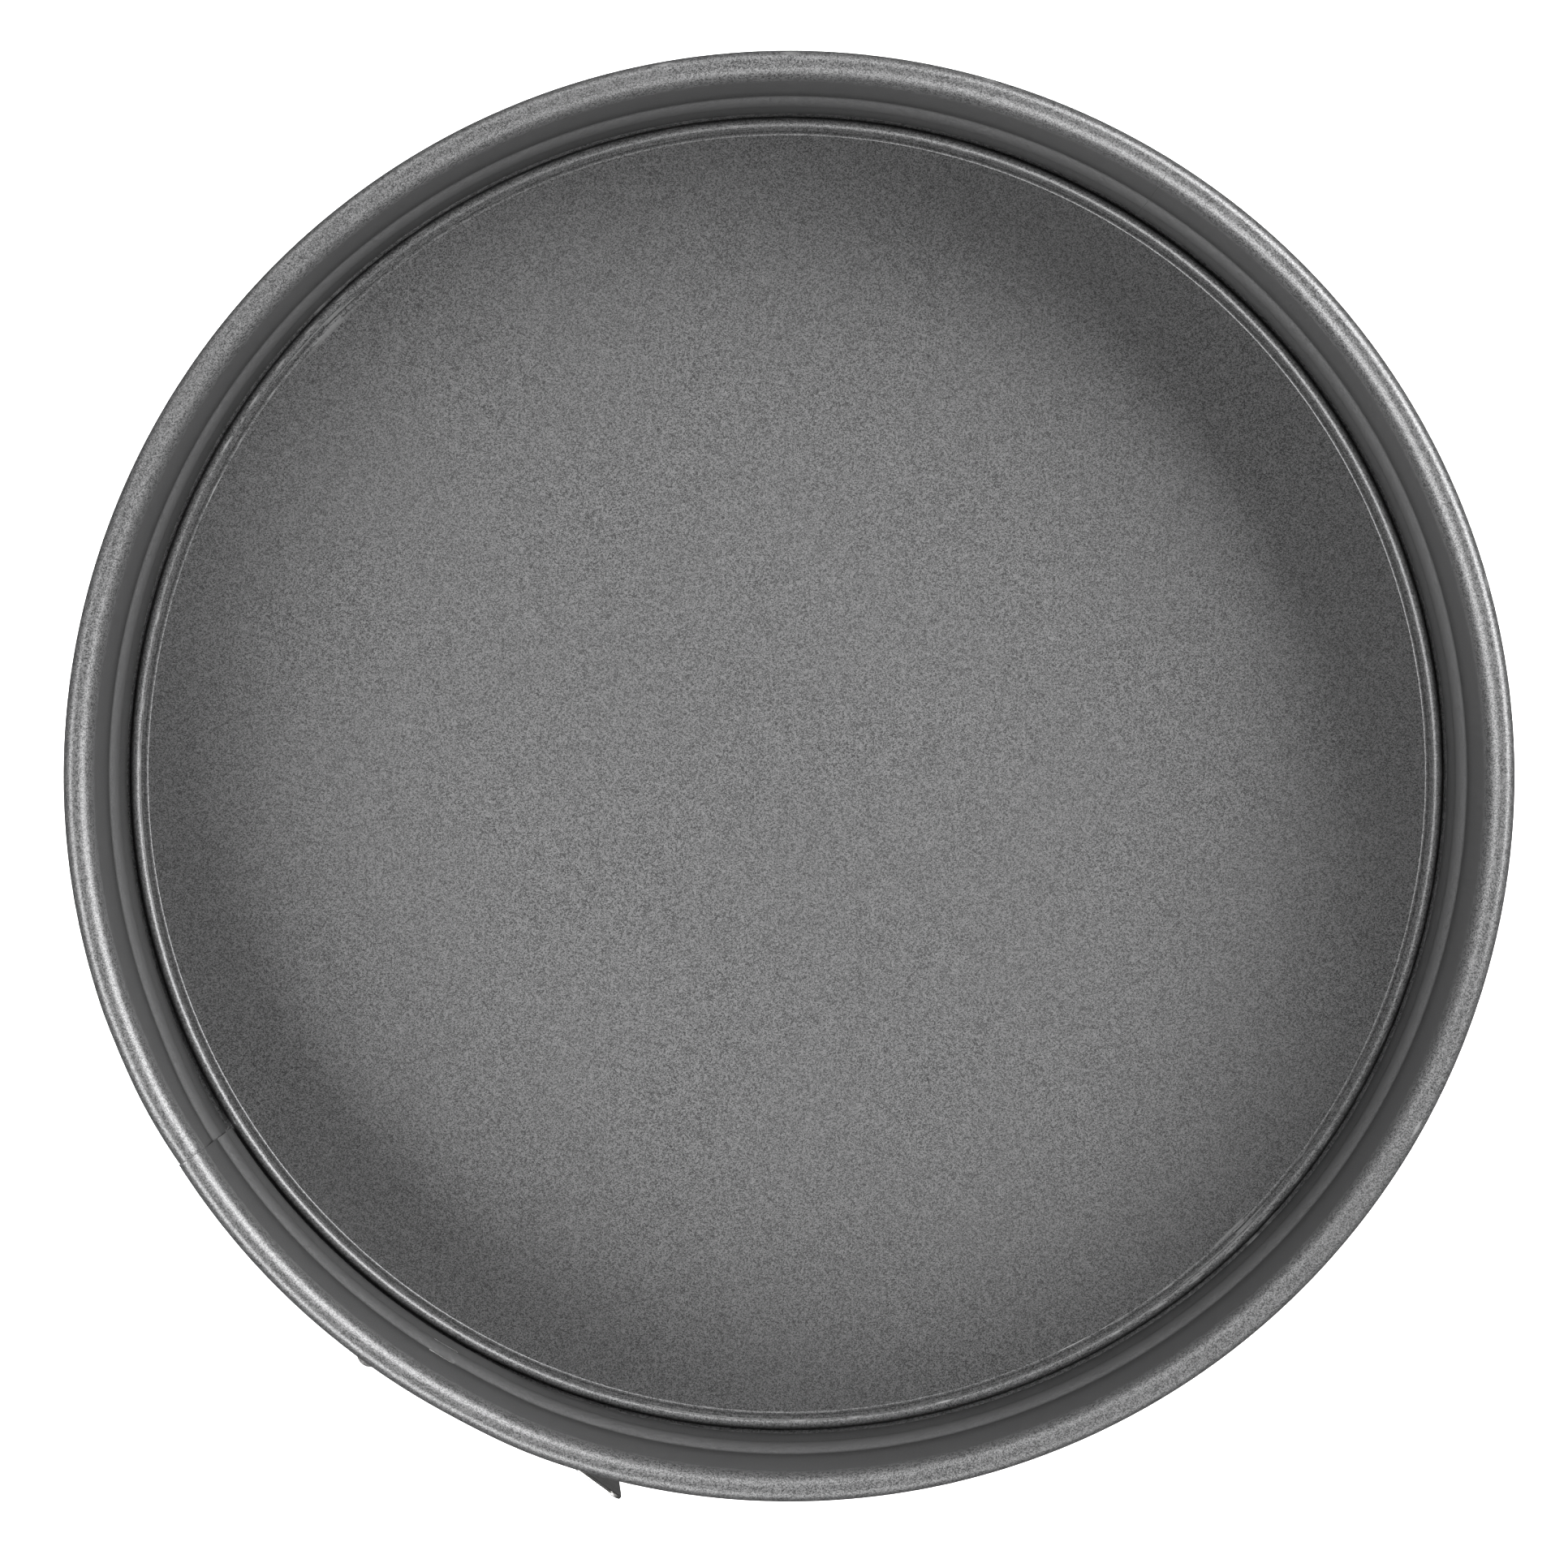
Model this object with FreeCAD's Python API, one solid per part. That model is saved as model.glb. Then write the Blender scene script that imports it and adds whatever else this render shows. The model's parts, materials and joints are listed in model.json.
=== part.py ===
"""Springform pan: a round baking pan whose side band is opened by an over-centre lever latch.

Millimetres, +Z up. The origin is the centre of the plane that the band's lower edge stands on.
Angles are polar angles about the Z axis, counter-clockwise seen from above.
"""
import FreeCAD, Part
import os
from math import acos, atan2, cos, degrees, radians, sin

Vector = FreeCAD.Vector
UP = Vector(0, 0, 1)
ORIGIN = Vector(0, 0, 0)

# Band: one strip of sheet, cut at the back so that its two halves can turn on each other.
INNER_RADIUS = 135.0
HEIGHT = 65.0
BAND_SHEET = 0.5
BACK_CUT_ANGLE = 58.0
BACK_CUT_GAP = 0.3
SEAM_ANGLE = 212.4
SEAM_GAP = 0.6

# Band section, from the lower edge to the rim.
SEAT_HEIGHT = 3.0
GROOVE_DEPTH = 2.6
GROOVE_FLOOR_CORNER = 0.8
GROOVE_OUTER_CORNER = 0.4
GROOVE_ROOF_SLOPE = 65.0
GROOVE_ROOF_CORNERS = (0.5, 0.8)
WALL_FOOT = 7.4
RIB_BOTTOM = 19.8
RIB_TOP = 38.3
RIB_BULGE = 0.75
RIB_CORNER = 4.0
RIM_INNER_ROLL = 3.77
RIM_OUTER_ROLL = 2.08
RIM_ROLL_END = 150.0

# Where the band's ends lap: the inner layer steps in and the outer layer steps out.
INNER_LAYER_SHIFT = 0.4
INNER_LAYER_STEP = (240.5, 250.5)
OUTER_LAYER_SHIFT = 0.5
OUTER_LAYER_STEP = (199.0, 212.3)
TONGUE_END_ANGLE = 236.0
TONGUE_BOTTOM = 12.0
TONGUE_TOP = 56.0
TONGUE_CORNER = 6.0

# Base plate.
BASE_SHEET = 0.8
FLOOR_TOP = 4.9
RIDGE_START_RADIUS = 130.8
RIDGE_CORNERS = (0.15, 0.85)
RIDGE_SLOPE = 27.0
BEAD_START_RADIUS = 132.35
BEAD_INSIDE = (0.05, 1.5)
BEAD_SLOPE = 50.0
BEAD_OUTSIDE = (0.9, 0.3)
BEAD_OUTSIDE_SLOPE = 78.0
FLANGE_RADIUS = 136.7

# Latch, measured along the tangent (u) and outwards (v) from the wall at LATCH_ANGLE.
LATCH_ANGLE = 240.0
LATCH_MIDDLE = (RIB_BOTTOM + RIB_TOP) / 2
WALL_OUTSIDE = INNER_RADIUS + BAND_SHEET
LEVER_PIVOT = (-2.1, 4.2)
LINK_OFFSET = 9.0
LINK_OFFSET_ANGLE = -11.0
CATCH_PIN = (-14.6, 5.45)

EAR_WIDTH = 5.3
EAR_SHEET = 1.2
EAR_SPREAD = 18.5
SLOT_CLEARANCE = 0.1
TAB_INSIDE = 0.05
BRACKET_SHEET = 1.0

ARM_SHEET = 1.0
ARM_GAP = 0.1
ARM_EYE_RADIUS = 3.9
LINK_EYE_BOSS = 1.9
LEVER_OUTER_RADIUS = 143.6
ARM_INNER_RADIUS = 137.6
ARM_END_ANGLE = 253.0
WINDOW_END_ANGLE = 246.4
TAPER_END_INSET = 1.5
THUMB_SHEET = 0.9
THUMB_DEPTH_AT_ROOT = 4.3
TIP_ROOT = (24.0, 4.2)
TIP_END = (43.05, 6.2)
TIP_SLANT = 1.3
TIP_CORNER = 3.0
TIP_EDGE_ROUNDING = 0.3

LINK_SHEET = 1.2
LINK_HEIGHT = 15.0
LINK_EYE_RADIUS = 1.9
HOOK_CLEARANCE = 0.3
HOOK_MOUTH = 45.0
RUNNING_CLEARANCE = 0.05

RIVET_RADIUS = 1.5
RIVET_HEAD = (2.4, 0.8)
LINK_PIN_RADIUS = 1.0
LINK_PIN_HEAD = (1.7, 0.6)
CATCH_PIN_RADIUS = 1.25
CATCH_PIN_HEAD = (1.9, 0.6)

CATCH_SHEET = 0.8
CATCH_PLATE_HALF_HEIGHT = 11.6
CATCH_PLATE_ANGLES = (229.8, 235.4)
CATCH_EAR_SPREAD = 17.6
CATCH_EAR_RADIUS = 2.8


def polar(radius, angle, z=0.0):
    return Vector(radius * cos(radians(angle)), radius * sin(radians(angle)), z)


def latch_point(place, z=0.0):
    """The point at some (along, outwards) distances from the latch's own point on the wall."""
    along, outward = place
    return (polar(WALL_OUTSIDE + outward, LATCH_ANGLE)
            + polar(along, LATCH_ANGLE + 90) + Vector(0, 0, z))


# Sheet sections: a walk of straight lines and tangent arcs, with the sheet on its right-hand side.

def section_point(x, z, heading, offset):
    return Vector(x + offset * sin(radians(heading)), 0, z - offset * cos(radians(heading)))


def walk(start, heading, steps, offset):
    """Edges of the walk, moved sideways by offset; a step is a length or (radius, turn)."""
    x, z = start
    edges = []
    for step in steps:
        first = section_point(x, z, heading, offset)
        if isinstance(step, tuple):
            radius, turn = step
            side = 1 if turn > 0 else -1
            centre = (x - side * radius * sin(radians(heading)), z + side * radius * cos(radians(heading)))
            middle = None
            for part_turn in (turn / 2, turn):
                at = heading + part_turn
                x = centre[0] + side * radius * sin(radians(at))
                z = centre[1] - side * radius * cos(radians(at))
                last = section_point(x, z, at, offset)
                middle = middle or last
            heading += turn
            edges.append(Part.Arc(first, middle, last).toShape())
        else:
            x += step * cos(radians(heading))
            z += step * sin(radians(heading))
            edges.append(Part.makeLine(first, section_point(x, z, heading, offset)))
    return edges


def sheet_section(start, heading, steps, thickness):
    """The closed face of a bent sheet in the XZ plane."""
    near = walk(start, heading, steps, 0.0)
    far = walk(start, heading, steps, thickness)
    first_cap = Part.makeLine(near[0].firstVertex().Point, far[0].firstVertex().Point)
    last_cap = Part.makeLine(near[-1].lastVertex().Point, far[-1].lastVertex().Point)
    return Part.Face(Part.Wire(Part.__sortEdges__(near + far + [first_cap, last_cap])))


def slope_length(rise, corners, slope):
    """Length of the straight between two opposite corners that shift a sheet sideways by rise."""
    return (rise - sum(corners) * (1 - cos(radians(slope)))) / sin(radians(slope))


def rib_steps():
    half_height = (RIB_TOP - RIB_BOTTOM) / 2
    radii = (half_height ** 2 + RIB_BULGE ** 2) / (2 * RIB_BULGE)
    slope = degrees(acos(1 - RIB_BULGE / radii))
    return [(RIB_CORNER, slope), (radii - RIB_CORNER, -2 * slope), (RIB_CORNER, slope)]


def band_section():
    roof = slope_length(GROOVE_DEPTH, GROOVE_ROOF_CORNERS, GROOVE_ROOF_SLOPE)
    roof_rise = (sum(GROOVE_ROOF_CORNERS) * sin(radians(GROOVE_ROOF_SLOPE))
                 + roof * cos(radians(GROOVE_ROOF_SLOPE)))
    steps = [
        SEAT_HEIGHT - GROOVE_FLOOR_CORNER,
        (GROOVE_FLOOR_CORNER, -90),
        GROOVE_DEPTH - GROOVE_FLOOR_CORNER - GROOVE_OUTER_CORNER,
        (GROOVE_OUTER_CORNER, 90),
        WALL_FOOT - roof_rise - SEAT_HEIGHT - GROOVE_OUTER_CORNER,
        (GROOVE_ROOF_CORNERS[0], GROOVE_ROOF_SLOPE),
        roof,
        (GROOVE_ROOF_CORNERS[1], -GROOVE_ROOF_SLOPE),
        RIB_BOTTOM - WALL_FOOT,
        *rib_steps(),
        HEIGHT - RIM_INNER_ROLL - RIB_TOP,
        (RIM_INNER_ROLL, -90),
        (RIM_OUTER_ROLL, -RIM_ROLL_END),
    ]
    return sheet_section((0.0, 0.0), 90, steps, BAND_SHEET)


def tongue_section():
    steps = [RIB_BOTTOM - TONGUE_BOTTOM, *rib_steps(), TONGUE_TOP - RIB_TOP]
    return sheet_section((0.0, TONGUE_BOTTOM), 90, steps, BAND_SHEET)


def layer_step(radius, shift, angles):
    """Two opposed arcs that move the band outwards by shift between two polar angles."""
    half_length = radius * radians(angles[1] - angles[0]) / 2
    bend = shift / half_length ** 2
    arcs = []
    for curvature in (1 / radius - bend, 1 / (radius + shift) + bend):
        arcs.append((1 / curvature, degrees(half_length * curvature)))
    return arcs


def sweep_round(section, place, outward, arcs):
    """Sweep a section, whose x starts at the wall's inside, along plan arcs (radius, turn)."""
    pieces = []
    for radius, turn in arcs:
        centre = place - polar(radius, outward)
        piece = section.translated(Vector(radius, 0, 0)).revolve(ORIGIN, UP, turn)
        piece.rotate(ORIGIN, UP, outward)
        piece.translate(centre)
        pieces.append(piece)
        outward += turn
        place = centre + polar(radius, outward)
    return pieces, place, outward


def fuse(solids):
    whole = solids[0].multiFuse(solids[1:]).removeSplitter()
    return whole.Solids[0] if len(whole.Solids) == 1 else whole


def ring_sector(radii, angles, heights):
    """A piece of a round wall between two radii, two polar angles and two heights."""
    corners = [Vector(radii[i], 0, heights[j]) for i, j in ((0, 0), (1, 0), (1, 1), (0, 1), (0, 0))]
    sector = Part.Face(Part.makePolygon(corners)).revolve(ORIGIN, UP, angles[1] - angles[0])
    return sector.rotated(ORIGIN, UP, angles[0])


def upright(centre, radius, heights):
    """A vertical cylinder at a plan point."""
    base = Vector(centre.x, centre.y, heights[0])
    return Part.makeCylinder(radius, heights[1] - heights[0], base)


def latch_block(along, outward, heights):
    """A box lined up with the latch's tangent: (from, to) along it, outwards and in height."""
    block = Part.makeBox(outward[1] - outward[0], along[1] - along[0], heights[1] - heights[0])
    block.translate(Vector(WALL_OUTSIDE + outward[0], along[0], heights[0]))
    return block.rotated(ORIGIN, UP, LATCH_ANGLE)


def mirrored_heights(inner, thickness):
    """The two height ranges that lie inner above and below the latch's middle."""
    above = (LATCH_MIDDLE + inner, LATCH_MIDDLE + inner + thickness)
    below = (LATCH_MIDDLE - inner - thickness, LATCH_MIDDLE - inner)
    return above, below


def plan_plate(outline, heights):
    """A flat plate from plan points joined by straight edges."""
    corners = [Vector(p.x, p.y, heights[0]) for p in outline]
    face = Part.Face(Part.makePolygon(corners + corners[:1]))
    return face.extrude(Vector(0, 0, heights[1] - heights[0]))


# Band

def ear_slots():
    half = EAR_WIDTH / 2 + SLOT_CLEARANCE
    along = (LEVER_PIVOT[0] - half, LEVER_PIVOT[0] + half)
    return [latch_block(along, (-4, 1), (low - SLOT_CLEARANCE, high + SLOT_CLEARANCE))
            for low, high in mirrored_heights(EAR_SPREAD / 2 - EAR_SHEET / 2, EAR_SHEET)]


def band_latch_half():
    """From the seam, under the latch and round the front to the cut at the back."""
    start = SEAM_ANGLE + degrees(SEAM_GAP / 2 / INNER_RADIUS)
    lapped = INNER_RADIUS - INNER_LAYER_SHIFT
    end = BACK_CUT_ANGLE + 360 - degrees(BACK_CUT_GAP / 2 / INNER_RADIUS)
    arcs = [(lapped, INNER_LAYER_STEP[0] - start),
            *layer_step(lapped, INNER_LAYER_SHIFT, INNER_LAYER_STEP)]
    pieces, place, outward = sweep_round(band_section(), polar(lapped, start), start, arcs)
    rest, _, _ = sweep_round(band_section(), place, outward, [(INNER_RADIUS, end - outward)])
    return fuse(pieces + rest).cut(ear_slots()).Solids[0]


def band_catch_half():
    """From the cut at the back round to the seam, then the plain tongue behind the other end."""
    start = BACK_CUT_ANGLE + degrees(BACK_CUT_GAP / 2 / INNER_RADIUS)
    arcs = [(INNER_RADIUS, OUTER_LAYER_STEP[0] - start),
            *layer_step(INNER_RADIUS, OUTER_LAYER_SHIFT, OUTER_LAYER_STEP)]
    pieces, place, outward = sweep_round(band_section(), polar(INNER_RADIUS, start), start, arcs)
    lapped = INNER_RADIUS + OUTER_LAYER_SHIFT
    tongue, _, _ = sweep_round(tongue_section(), place, outward, [(lapped, TONGUE_END_ANGLE - outward)])
    whole = fuse(pieces + tongue)
    corners = [edge for edge in whole.Edges if is_tongue_corner(edge)]
    return whole.makeFillet(TONGUE_CORNER, corners).Solids[0]


def is_tongue_corner(edge):
    """True for the two short edges across the sheet at the tongue's free corners."""
    middle = edge.CenterOfMass
    at_end = abs((degrees(atan2(middle.y, middle.x)) % 360) - TONGUE_END_ANGLE) < 0.05
    return edge.Length < 2 * BAND_SHEET and at_end and min(
        abs(middle.z - TONGUE_BOTTOM), abs(middle.z - TONGUE_TOP)) < 0.01


# Base

def base_plate():
    """A flat floor, a low ridge, a rounded bead and the flange that sits in the band's groove."""
    ridge_width = 2 * sum(RIDGE_CORNERS) * sin(radians(RIDGE_SLOPE))
    bead_rise = sum(BEAD_INSIDE) * (1 - cos(radians(BEAD_SLOPE)))
    fall = FLOOR_TOP + bead_rise - SEAT_HEIGHT - BASE_SHEET
    outer_flank = slope_length(fall, BEAD_OUTSIDE, BEAD_OUTSIDE_SLOPE)
    bead_width = (sum(BEAD_INSIDE) * sin(radians(BEAD_SLOPE))
                  + sum(BEAD_OUTSIDE) * sin(radians(BEAD_OUTSIDE_SLOPE))
                  + outer_flank * cos(radians(BEAD_OUTSIDE_SLOPE)))
    steps = [
        RIDGE_START_RADIUS,
        (RIDGE_CORNERS[0], RIDGE_SLOPE),
        (RIDGE_CORNERS[1], -2 * RIDGE_SLOPE),
        (RIDGE_CORNERS[0], RIDGE_SLOPE),
        BEAD_START_RADIUS - RIDGE_START_RADIUS - ridge_width,
        (BEAD_INSIDE[0], BEAD_SLOPE),
        (BEAD_INSIDE[1], -BEAD_SLOPE),
        (BEAD_OUTSIDE[0], -BEAD_OUTSIDE_SLOPE),
        outer_flank,
        (BEAD_OUTSIDE[1], BEAD_OUTSIDE_SLOPE),
        FLANGE_RADIUS - BEAD_START_RADIUS - bead_width,
    ]
    return sheet_section((0.0, FLOOR_TOP), 0, steps, BASE_SHEET).revolve(ORIGIN, UP, 360)


# Latch

def lever_bracket():
    """A plate on the wall with two ears; each ear's tab goes through a slot and is clinched inside."""
    pivot = latch_point(LEVER_PIVOT)
    half = EAR_WIDTH / 2
    along = (LEVER_PIVOT[0] - half, LEVER_PIVOT[0] + half)
    wall = INNER_RADIUS - INNER_LAYER_SHIFT + BAND_SHEET
    tab_depth = (wall - BAND_SHEET - TAB_INSIDE - WALL_OUTSIDE, LEVER_PIVOT[1])
    half_height = (EAR_SPREAD + EAR_SHEET) / 2
    plate = latch_block(along, (-2, 2), (LATCH_MIDDLE - half_height, LATCH_MIDDLE + half_height))
    shell = ring_sector((wall, wall + BRACKET_SHEET), (LATCH_ANGLE - 5, LATCH_ANGLE + 5), (0, HEIGHT))
    pieces = [plate.common(shell)]
    for heights in mirrored_heights(EAR_SPREAD / 2 - EAR_SHEET / 2, EAR_SHEET):
        ear = latch_block(along, tab_depth, heights).fuse(upright(pivot, half, heights))
        pieces.append(ear)
    bored = fuse(pieces).cut(upright(pivot, RIVET_RADIUS, (0, HEIGHT)))
    return bored.Solids[0]


def arm_heights():
    return mirrored_heights(EAR_SPREAD / 2 + EAR_SHEET / 2 + ARM_GAP, ARM_SHEET)


def lever_top():
    return arm_heights()[0][1]


def lever_bottom():
    return arm_heights()[1][0]


def link_pin_place():
    return (LEVER_PIVOT[0] + LINK_OFFSET * cos(radians(LINK_OFFSET_ANGLE)),
            LEVER_PIVOT[1] + LINK_OFFSET * sin(radians(LINK_OFFSET_ANGLE)))


def lever_arm(heights):
    """A side arm of the lever: from the pivot eye to where it dies into the thumb piece."""
    pivot_angle = LATCH_ANGLE + degrees(LEVER_PIVOT[0] / (WALL_OUTSIDE + LEVER_PIVOT[1]))
    bar = ring_sector((ARM_INNER_RADIUS, LEVER_OUTER_RADIUS), (pivot_angle, ARM_END_ANGLE), heights)
    beyond = ARM_INNER_RADIUS - 3 * ARM_SHEET
    taper = plan_plate([
        polar(beyond, WINDOW_END_ANGLE),
        polar(ARM_INNER_RADIUS, WINDOW_END_ANGLE),
        latch_point(TIP_ROOT) + polar(THUMB_DEPTH_AT_ROOT, LATCH_ANGLE + 180),
        polar(LEVER_OUTER_RADIUS - TAPER_END_INSET, ARM_END_ANGLE),
        polar(beyond, ARM_END_ANGLE)], heights)
    eye = upright(latch_point(LEVER_PIVOT), ARM_EYE_RADIUS, heights)
    boss = upright(latch_point(link_pin_place()), LINK_EYE_BOSS, heights)
    return fuse([bar.cut(taper), eye, boss])


def lever_tip():
    """The flat thumb piece that flares away from the wall, with rounded end corners."""
    root, end = latch_point(TIP_ROOT), latch_point(TIP_END)
    flare = end - root
    length = flare.Length
    low, high = lever_bottom(), lever_top()
    outline = [Vector(0, 0, low), Vector(length - TIP_SLANT, 0, low),
               Vector(length, 0, high), Vector(0, 0, high)]
    face = Part.Face(Part.makePolygon(outline + outline[:1]))
    plate = face.extrude(Vector(0, THUMB_SHEET, 0))
    corners = [edge for edge in plate.Edges
               if edge.BoundBox.YLength > THUMB_SHEET / 2 and edge.CenterOfMass.x > length / 2]
    plate = plate.makeFillet(TIP_CORNER, corners)
    rim = [edge for edge in plate.Edges
           if edge.BoundBox.YLength < THUMB_SHEET / 2 and edge.BoundBox.XMax > THUMB_SHEET]
    plate = plate.makeFillet(TIP_EDGE_ROUNDING, rim)
    plate.rotate(ORIGIN, UP, degrees(atan2(flare.y, flare.x)))
    plate.translate(root)
    return plate


def latch_lever():
    """Two arms that straddle the bracket, a web beyond the window and the thumb piece."""
    arms = [lever_arm(heights) for heights in arm_heights()]
    web = ring_sector((LEVER_OUTER_RADIUS - ARM_SHEET, LEVER_OUTER_RADIUS),
                      (WINDOW_END_ANGLE, ARM_END_ANGLE), (lever_bottom(), lever_top()))
    whole = fuse(arms + [web, lever_tip()])
    bores = [upright(latch_point(LEVER_PIVOT), RIVET_RADIUS + RUNNING_CLEARANCE, (0, HEIGHT)),
             upright(latch_point(link_pin_place()), LINK_PIN_RADIUS, (0, HEIGHT))]
    return whole.cut(bores).Solids[0]


def latch_link():
    """A plate from the eye on the lever's pin to the hook over the catch pin."""
    heights = (LATCH_MIDDLE - LINK_HEIGHT / 2, LATCH_MIDDLE + LINK_HEIGHT / 2)
    eye_centre = latch_point(link_pin_place())
    hook_centre = latch_point(CATCH_PIN)
    hook_inner = CATCH_PIN_RADIUS + HOOK_CLEARANCE
    hook_outer = hook_inner + LINK_SHEET
    away = hook_centre - eye_centre
    heading = degrees(atan2(away.y, away.x))
    lean = degrees(acos((hook_outer - LINK_EYE_RADIUS) / away.Length))
    outer_side = heading + lean
    bar = plan_plate([eye_centre + polar(LINK_EYE_RADIUS, outer_side),
                      hook_centre + polar(hook_outer, outer_side),
                      hook_centre + polar(hook_inner, outer_side),
                      eye_centre + polar(LINK_EYE_RADIUS - LINK_SHEET, outer_side)], heights)
    hook = upright(hook_centre, hook_outer, heights).cut(upright(hook_centre, hook_inner, (0, HEIGHT)))
    jaw = plan_plate([hook_centre] + [hook_centre + polar(3 * hook_outer, angle)
                                      for angle in (outer_side, heading + HOOK_MOUTH)], heights)
    eye = upright(eye_centre, LINK_EYE_RADIUS, heights)
    whole = fuse([bar, hook.common(jaw), eye])
    return whole.cut(upright(eye_centre, LINK_PIN_RADIUS + RUNNING_CLEARANCE, (0, HEIGHT))).Solids[0]


def catch_bracket():
    """A plate welded on the tongue with two ears that carry the catch pin."""
    wall = WALL_OUTSIDE + OUTER_LAYER_SHIFT
    plate = ring_sector((wall, wall + CATCH_SHEET), CATCH_PLATE_ANGLES,
                        (LATCH_MIDDLE - CATCH_PLATE_HALF_HEIGHT, LATCH_MIDDLE + CATCH_PLATE_HALF_HEIGHT))
    pin = latch_point(CATCH_PIN)
    bearing = degrees(atan2(pin.y, pin.x)) % 360
    reach = degrees(CATCH_EAR_RADIUS / pin.Length)
    pieces = [plate]
    for heights in mirrored_heights(CATCH_EAR_SPREAD / 2 - CATCH_SHEET / 2, CATCH_SHEET):
        neck = plan_plate([polar(wall + CATCH_SHEET / 2, CATCH_PLATE_ANGLES[0]),
                           polar(wall + CATCH_SHEET / 2, CATCH_PLATE_ANGLES[1]),
                           polar(pin.Length, bearing + reach), polar(pin.Length, bearing - reach)], heights)
        pieces += [neck, upright(pin, CATCH_EAR_RADIUS, heights)]
    return fuse(pieces).cut(upright(pin, CATCH_PIN_RADIUS, (0, HEIGHT))).Solids[0]


def headed_pin(centre, radius, head, heights):
    """A straight pin with an equal round head at each end, outside the given heights."""
    head_radius, head_height = head
    low, high = heights
    return fuse([upright(centre, radius, (low - head_height, high + head_height)),
                 upright(centre, head_radius, (low - head_height, low)),
                 upright(centre, head_radius, (high, high + head_height))])


def lever_rivets():
    """Two short rivets, one through each ear and arm, so the link can pass between them."""
    centre = latch_point(LEVER_PIVOT)
    upper_arm, lower_arm = arm_heights()
    upper_ear, lower_ear = mirrored_heights(EAR_SPREAD / 2 - EAR_SHEET / 2, EAR_SHEET)
    return Part.makeCompound([
        headed_pin(centre, RIVET_RADIUS, RIVET_HEAD, (upper_ear[0], upper_arm[1] + ARM_GAP)),
        headed_pin(centre, RIVET_RADIUS, RIVET_HEAD, (lower_arm[0] - ARM_GAP, lower_ear[1]))])


def link_pin():
    return headed_pin(latch_point(link_pin_place()), LINK_PIN_RADIUS, LINK_PIN_HEAD,
                      (lever_bottom(), lever_top()))


def catch_pin():
    upper, lower = mirrored_heights(CATCH_EAR_SPREAD / 2 - CATCH_SHEET / 2, CATCH_SHEET)
    return headed_pin(latch_point(CATCH_PIN), CATCH_PIN_RADIUS, CATCH_PIN_HEAD, (lower[0], upper[1]))


NODES = {
    "base_plate": base_plate,
    "band_latch_half": band_latch_half,
    "band_catch_half": band_catch_half,
    "lever_bracket": lever_bracket,
    "catch_bracket": catch_bracket,
    "latch_lever": latch_lever,
    "latch_link": latch_link,
    "lever_rivets": lever_rivets,
    "link_pin": link_pin,
    "catch_pin": catch_pin,
}


def main():
    os.makedirs("parts", exist_ok=True)
    for name, make in NODES.items():
        shape = make()
        shape.exportStep(f"parts/{name}.step")
        print(f"{name}: {len(shape.Solids)} solid(s), {shape.Volume:.1f} mm3, valid {shape.isValid()}")


main()
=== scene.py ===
"""Springform pan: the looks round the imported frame, seen from above under four soft lights.

Metres, in the frame's own axes: +Z up out of the open pan, angles counter-clockwise from +X seen from above.
"""
import json
from math import atan2, ceil, cos, degrees, radians, sin

import bpy
from mathutils import Matrix, Vector


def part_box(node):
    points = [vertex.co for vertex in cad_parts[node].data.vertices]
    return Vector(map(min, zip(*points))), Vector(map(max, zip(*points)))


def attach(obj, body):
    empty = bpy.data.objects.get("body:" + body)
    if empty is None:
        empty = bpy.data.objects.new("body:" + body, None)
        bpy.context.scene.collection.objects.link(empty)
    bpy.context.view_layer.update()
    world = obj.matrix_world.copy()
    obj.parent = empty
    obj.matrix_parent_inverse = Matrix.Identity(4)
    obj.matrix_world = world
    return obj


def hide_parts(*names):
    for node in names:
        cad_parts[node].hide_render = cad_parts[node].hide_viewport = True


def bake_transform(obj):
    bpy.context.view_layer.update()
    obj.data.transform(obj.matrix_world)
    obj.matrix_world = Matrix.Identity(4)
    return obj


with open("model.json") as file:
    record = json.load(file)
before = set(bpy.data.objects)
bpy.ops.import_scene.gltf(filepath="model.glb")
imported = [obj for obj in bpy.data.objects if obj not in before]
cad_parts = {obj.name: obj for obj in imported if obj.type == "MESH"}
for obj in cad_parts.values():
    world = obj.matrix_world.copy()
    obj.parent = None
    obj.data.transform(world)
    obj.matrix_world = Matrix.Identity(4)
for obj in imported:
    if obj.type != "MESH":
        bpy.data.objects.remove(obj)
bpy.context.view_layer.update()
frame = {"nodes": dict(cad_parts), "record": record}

MM = 0.001

# Band: the strip's section, as in the frame.
INNER_RADIUS = 135.0 * MM
BAND_SHEET = 0.5 * MM
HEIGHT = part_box("band_latch_half")[1].z
SEAT_HEIGHT = 3.0 * MM
GROOVE_DEPTH = 2.6 * MM
GROOVE_FLOOR_CORNER = 0.8 * MM
GROOVE_OUTER_CORNER = 0.4 * MM
GROOVE_ROOF_SLOPE = 65.0
GROOVE_ROOF_CORNERS = (0.5 * MM, 0.8 * MM)
WALL_FOOT = 7.4 * MM
RIB_BOTTOM = 19.8 * MM
RIB_TOP = 38.3 * MM
RIB_BULGE = 0.75 * MM
RIB_CORNER = 4.0 * MM
RIM_INNER_ROLL = 3.77 * MM
RIM_OUTER_ROLL = 2.08 * MM
RIM_ROLL_END = 150.0

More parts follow.
